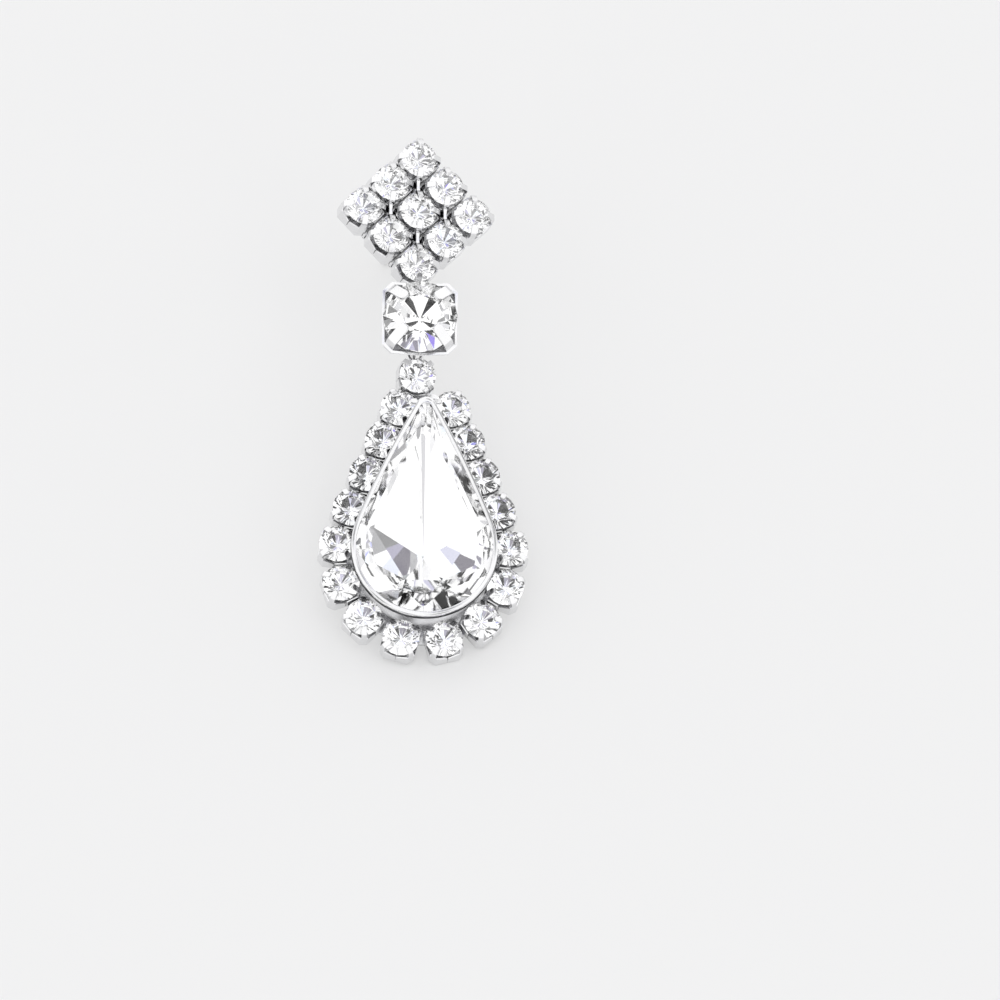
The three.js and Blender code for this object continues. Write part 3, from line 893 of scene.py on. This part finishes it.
def plating_wear():
    """Fine polishing lines, cloudy handling marks and a faint unevenness of plated metal."""
    tree, given, out = group("plating wear", [
        ("Base Roughness", "NodeSocketFloat", "INPUT", 0.12),
        ("Cloudiness", "NodeSocketFloat", "INPUT", 0.1),
        ("Scale", "NodeSocketFloat", "INPUT", 900.0),
        ("Roughness", "NodeSocketFloat", "OUTPUT", None),
        ("Height", "NodeSocketFloat", "OUTPUT", None),
    ])
    cloud = noise(tree, given.outputs["Scale"], 3.0)
    lines = noise(tree, maths(tree, "MULTIPLY", given.outputs["Scale"], 5.0), 2.0, (1, 1, 6))
    spread = maths(tree, "MULTIPLY", cloud, given.outputs["Cloudiness"])
    tree.links.new(maths(tree, "ADD", spread, given.outputs["Base Roughness"]), out.inputs["Roughness"])
    tree.links.new(lines, out.inputs["Height"])
    return tree


def silver_plate(wear, name, crevice_shade):
    """Bright plating with painted shade, its colour darkened in its hollows, from and to the open shares
    and tones of two rows.
    """
    material, tree, shader = new_material(name)
    shader.inputs["Metallic"].default_value = 1.0
    worn = placed_group(tree, wear)
    bump = tree.nodes.new("ShaderNodeBump")
    bump.inputs["Strength"].default_value = 0.06
    bump.inputs["Distance"].default_value = 0.02 * MM
    # Painted shade: ambient occlusion darkens the base colour where the metal is hemmed in by other parts.
    shade_probe = tree.nodes.new("ShaderNodeAmbientOcclusion")
    shade_probe.samples = 8
    shade_probe.inputs["Distance"].default_value = 1.3 * MM
    stops = [(open_share, grey(tone, 1.01)) for open_share, tone in crevice_shade]
    tree.links.new(colour_ramp(tree, shade_probe.outputs["AO"], stops), shader.inputs["Base Color"])
    tree.links.new(worn.outputs["Roughness"], shader.inputs["Roughness"])
    tree.links.new(worn.outputs["Height"], bump.inputs["Height"])
    tree.links.new(bump.outputs["Normal"], shader.inputs["Normal"])
    return material


def painted_groove_shadow():
    """Painted shadow under the pear's rim: near-black metal with a few paler places."""
    material, tree, shader = new_material("painted groove shadow")
    shader.inputs["Metallic"].default_value = 1.0
    shader.inputs["Roughness"].default_value = 0.45
    # Painted shadow: near-black colour with paler noise patches.
    tone = colour_ramp(tree, noise(tree, 1500.0, 3.0), [
        (0.45, (0.03, 0.03, 0.032, 1)),
        (0.75, (0.25, 0.25, 0.26, 1)),
    ])
    tree.links.new(tone, shader.inputs["Base Color"])
    return material


def crystal_glass(wear):
    """Clear cut glass, clouded by the least handling."""
    material, tree, shader = new_material("cut glass")
    shader.inputs["Base Color"].default_value = grey(1)
    shader.inputs["Transmission Weight"].default_value = 1.0
    shader.inputs["IOR"].default_value = 1.54
    worn = placed_group(tree, wear)
    worn.inputs["Base Roughness"].default_value = 0.0
    worn.inputs["Cloudiness"].default_value = 0.02
    worn.inputs["Scale"].default_value = 400.0
    tree.links.new(worn.outputs["Roughness"], shader.inputs["Roughness"])
    return material


def painted_foil_fire():
    """Silvered foil, mostly white, with a few small painted blue and violet glints that stand for the
    stone's fire.
    """
    tree, given, out = group("painted foil fire", [
        ("Scale", "NodeSocketFloat", "INPUT", 500.0),
        ("Color", "NodeSocketColor", "OUTPUT", None),
    ])
    # Painted glints: faint blue and violet tints in the foil's colour stand for the fire of the cut.
    tint = colour_ramp(tree, noise(tree, given.outputs["Scale"], 1.0), [
        (0.0, grey(0.97)),
        (0.66, grey(0.97)),
        (0.72, (0.94, 0.93, 0.97, 1)),
        (0.76, (0.92, 0.95, 0.97, 1)),
        (0.82, grey(0.97)),
    ])
    tree.links.new(tint, out.inputs["Color"])
    return tree


def stone_foil(fire):
    """The silvered back of a stone, with painted fire glints in its colour."""
    material, tree, shader = new_material("stone foil")
    shader.inputs["Metallic"].default_value = 1.0
    shader.inputs["Roughness"].default_value = 0.035
    tree.links.new(placed_group(tree, fire).outputs["Color"], shader.inputs["Base Color"])
    return material


# Studio


def pale_floor():
    """A matt floor that glows a little, as pale as the photograph's."""
    bpy.ops.mesh.primitive_plane_add(size=FLOOR_SIDE)
    floor = bpy.context.object
    floor.name = "floor"
    material, _, shader = new_material("pale floor")
    shader.inputs["Base Color"].default_value = grey(0.42)
    shader.inputs["Roughness"].default_value = 0.9
    shader.inputs["Specular IOR Level"].default_value = 0.0
    shader.inputs["Emission Color"].default_value = grey(1)
    shader.inputs["Emission Strength"].default_value = 0.43
    floor.data.materials.append(material)


def tent_patch(tree, direction, towards, width, soft):
    """One round patch of the tent: 1 inside, 0 outside, with a soft edge."""
    dot = tree.nodes.new("ShaderNodeVectorMath")
    dot.operation = "DOT_PRODUCT"
    tree.links.new(direction, dot.inputs[0])
    dot.inputs[1].default_value = Vector(towards).normalized()
    edge = math.cos(math.radians(width))
    step = tree.nodes.new("ShaderNodeMapRange")
    step.inputs["From Min"].default_value = edge - soft[0]
    step.inputs["From Max"].default_value = edge + soft[1]
    tree.links.new(dot.outputs["Value"], step.inputs["Value"])
    return step.outputs["Result"]


def tent_patches(tree, direction, patches, soft):
    """One mask of all the patches."""
    covered = 0.0
    for azimuth, elevation, width in patches:
        turn, rise = math.radians(azimuth), math.radians(elevation)
        towards = (math.sin(turn) * math.cos(rise), -math.cos(turn) * math.cos(rise), math.sin(rise))
        covered = maths(tree, "MAXIMUM", tent_patch(tree, direction, towards, width, soft), covered)
    return covered


def light_tent():
    """A white tent round the earring, whose gaps and sparks show as dark and coloured facets."""
    world = bpy.data.worlds.new("light tent")
    bpy.context.scene.world = world
    world.use_nodes = True
    tree = world.node_tree
    background = tree.nodes["Background"]
    where = tree.nodes.new("ShaderNodeTexCoord").outputs["Generated"]
    gaps = colour_ramp(tree, tent_patches(tree, where, TENT_GAPS, GAP_EDGE), [
        (0.0, grey(1)),
        (0.5, (0.6, 0.6, 0.62, 1)),
        (1.0, grey(0.17)),
    ])
    violet = colour_ramp(tree, tent_patches(tree, where, VIOLET_GAPS, GAP_EDGE), [
        (0.0, grey(1)),
        (0.3, (0.87, 0.94, 1.0, 1)),
        (0.6, (0.52, 0.5, 0.64, 1)),
        (1.0, (0.2, 0.19, 0.22, 1)),
    ])
    both = tree.nodes.new("ShaderNodeVectorMath")
    both.operation = "MULTIPLY"
    tree.links.new(gaps, both.inputs[0])
    tree.links.new(violet, both.inputs[1])
    sparks = tent_patches(tree, where, SPARKS, SPARK_EDGE)
    spark_colour = colour_ramp(tree, sparks, [
        (0.0, (0.6, 0.9, 1.0, 1)),
        (0.5, (0.25, 0.42, 1.0, 1)),
        (1.0, (0.26, 0.19, 0.72, 1)),
    ])
    lit = tree.nodes.new("ShaderNodeMix")
    lit.data_type = "RGBA"
    tree.links.new(sparks, lit.inputs["Factor"])
    tree.links.new(both.outputs["Vector"], lit.inputs[MIX_FIRST])
    tree.links.new(spark_colour, lit.inputs[MIX_SECOND])
    tree.links.new(lit.outputs[MIX_RESULT], background.inputs["Color"])
    background.inputs["Strength"].default_value = TENT_STRENGTH


def photo_camera():
    """Looks from the drop's end at the photograph's angle, with the pear where the photograph has it."""
    data = bpy.data.cameras.new("camera")
    data.lens = CAMERA_LENS
    data.clip_start = 0.01
    camera = bpy.data.objects.new("camera", data)
    bpy.context.scene.collection.objects.link(camera)
    bpy.context.scene.camera = camera
    rise = math.radians(CAMERA_ELEVATION)
    back = Vector((0, -math.cos(rise), math.sin(rise)))
    right = Vector((1, 0, 0))
    up = back.cross(right)
    wide = MM_PER_PIXEL * MM * PICTURE_PIXELS
    distance = wide * data.lens / data.sensor_width
    seen = drop_place @ Vector((0, 0, PEAR_EDGE_HEIGHT * MM))
    aside = (PICTURE_PIXELS / 2 - PEAR_PIXEL[0]) * MM_PER_PIXEL * MM
    above = (PEAR_PIXEL[1] - PICTURE_PIXELS / 2) * MM_PER_PIXEL * MM
    camera.location = seen + right * aside + up * above + back * distance
    camera.rotation_mode = "QUATERNION"
    camera.rotation_quaternion = back.to_track_quat("Z", "Y")


def render_look():
    """Plain colours, and enough bounces for the light inside the stones."""
    scene = bpy.context.scene
    scene.view_settings.view_transform = "Standard"
    scene.cycles.use_denoising = True
    scene.cycles.max_bounces = 16
    scene.cycles.transmission_bounces = 12
    scene.cycles.glossy_bounces = 10
    scene.cycles.sample_clamp_indirect = 4.0


wear = plating_wear()
# Painted shade: the plating goes near black in its hollows.
silver = silver_plate(wear, "silver plate", ((0.1, 0.05), (0.4, 0.8)))
# The prongs' copy of the plating, with lighter painted shade in its hollows.
lightly_shaded = silver_plate(wear, "prong plating with lighter painted shade", ((0.02, 0.3), (0.25, 0.82)))
cluster_metal(silver, lightly_shaded)
drop_metal(silver, painted_groove_shadow())
large_metal(silver)
links(silver)
stud_post(silver)
set_stones(crystal_glass(wear), stone_foil(painted_foil_fire()))
pale_floor()
light_tent()
photo_camera()
render_look()
